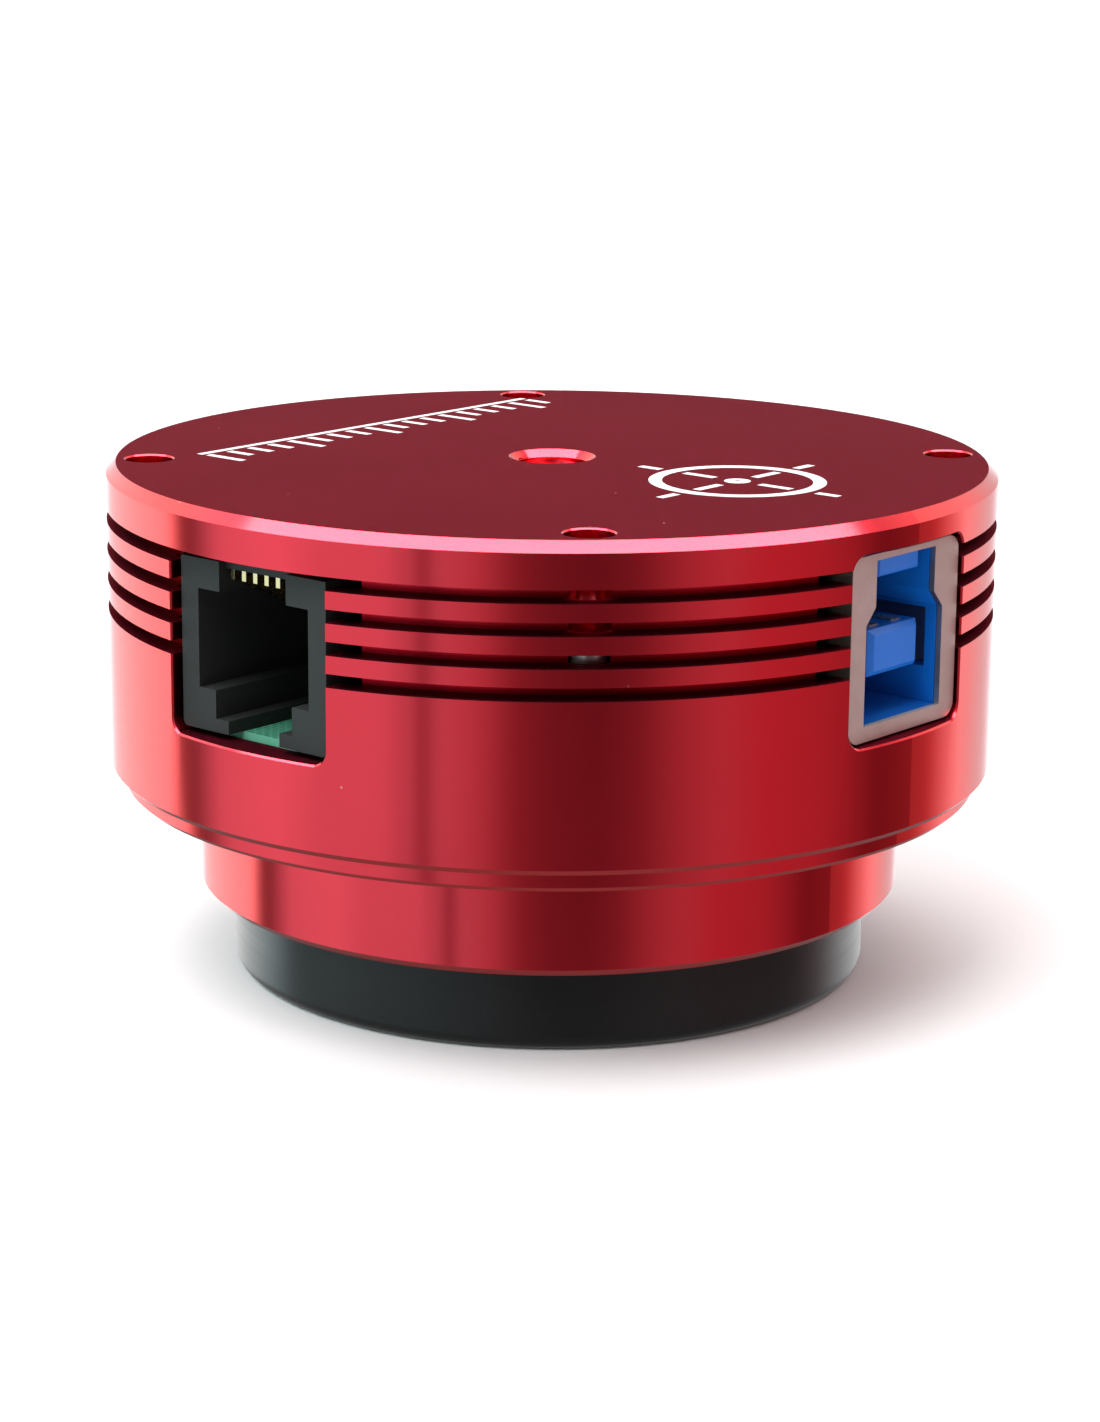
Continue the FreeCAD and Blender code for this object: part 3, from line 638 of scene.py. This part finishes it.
def add_inner_thread(name, wall, depth, pitch, flanks, low, high, start=0.0):
    """Ridge of an internal thread on its hole's wall; start is its share of a turn at the low end."""
    mesh = bmesh.new()
    turns = (high - low) / pitch
    steps = round(COLUMNS * turns)
    root = wall + RIDGE_SET
    sections = []
    for i in range(steps + 1):
        turn = start + turns * i / steps
        z = low + (turn - start) * pitch
        reach = wall - depth * min(1, i / RIDGE_FADE, (steps - i) / RIDGE_FADE)
        outline = ((root, z - flanks[0]), (root, z + flanks[0]),
                   (reach, z + flanks[1]), (reach, z - flanks[1]))
        sections.append(add_section(mesh, outline, 2 * math.pi * turn))
    join_sections(mesh, sections)
    mesh.faces.new(sections[0])
    mesh.faces.new(sections[-1][::-1])
    ridge = finished(name, mesh)
    round_off(ridge)
    attach(ridge, "camera", "red_anodised")


def add_threads():
    add_adapter_ring()
    add_inner_thread("nose_thread_ridge", NOSE_BORE, NOSE_RIDGE, NOSE_PITCH, NOSE_FLANKS,
                     SPIGOT_START + NOSE_START * NOSE_PITCH, SPIGOT_TOP - NOSE_RELIEF, NOSE_START)
    add_inner_thread("tripod_thread_ridge", TRIPOD_R, TRIPOD_RIDGE, TRIPOD_PITCH, TRIPOD_FLANKS,
                     BACK_Z - TRIPOD_DEEP, BACK_Z - TRIPOD_SHALLOW)


# ---- printed marks -----------------------------------------------------------
PRINT_LOW, PRINT_HIGH = BACK_Z - 0.02 * MM, BACK_Z + 0.015 * MM
TICK_X, TICK_HALF = -17.8 * MM, 0.29 * MM
TICKS, TICK_STEP, FIRST_TICK, LAST_TICK = 18, 2, -16, 18         # how many, and millimetres along Y
LONG_TICK, SHORT_TICK, LONG_EVERY = 3.4 * MM, 2.2 * MM, 4
BAR_LEFT, BAR_RIGHT = -18.7 * MM, -18.15 * MM

RETICLE_CENTRE = Vector((15.5 * MM, 1.0 * MM))
RETICLE_BANDS = ((5.1 * MM, 6.0 * MM), (0.2 * MM, 0.9 * MM))
RETICLE_DASHES = ((1.9 * MM, 4.5 * MM), (6.6 * MM, 8.4 * MM))
DASH_HALF = 0.32 * MM


def add_marks():
    """Plain white print on the back plate: a tick scale and a sighting reticle."""
    mesh = bmesh.new()
    for i in range(TICKS):
        y = (FIRST_TICK + TICK_STEP * i) * MM
        reach = LONG_TICK if i % LONG_EVERY == 0 else SHORT_TICK
        add_block(mesh, (TICK_X, y - TICK_HALF, PRINT_LOW), (TICK_X + reach, y + TICK_HALF, PRINT_HIGH))
    add_block(mesh, (BAR_LEFT, FIRST_TICK * MM - TICK_HALF, PRINT_LOW),
              (BAR_RIGHT, LAST_TICK * MM + TICK_HALF, PRINT_HIGH))

    for inner, outer in RETICLE_BANDS:
        add_band(mesh, RETICLE_CENTRE, inner, outer, PRINT_LOW, PRINT_HIGH)
    for along in (Vector((1, 0)), Vector((-1, 0)), Vector((0, 1)), Vector((0, -1))):
        across = Vector((abs(along.y), abs(along.x))) * DASH_HALF
        for near, far in RETICLE_DASHES:
            ends = (RETICLE_CENTRE + along * near, RETICLE_CENTRE + along * far)
            x0, y0 = (min(end[i] for end in ends) - across[i] for i in range(2))
            x1, y1 = (max(end[i] for end in ends) + across[i] for i in range(2))
            add_block(mesh, (x0, y0, PRINT_LOW), (x1, y1, PRINT_HIGH))
    marks = finished("back_print_marks", mesh)
    marks.data.materials.append(moulded("printed_ink", (0.70, 0.68, 0.67), (0.80, 0.78, 0.77), roughness=0.5))
    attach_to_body(marks, "camera")


dress_nodes()
add_threads()
add_marks()
add_camera()
add_floor()
add_world()
add_area("ceiling_panel", right=0, elevation=82, distance=0.6, size=(1.3, 0.6), power=20, glossy=True)
add_area("key", right=-35, elevation=55, distance=0.8, size=(0.5, 0.5), power=4, glossy=False)
bpy.context.scene.view_settings.view_transform = "Standard"
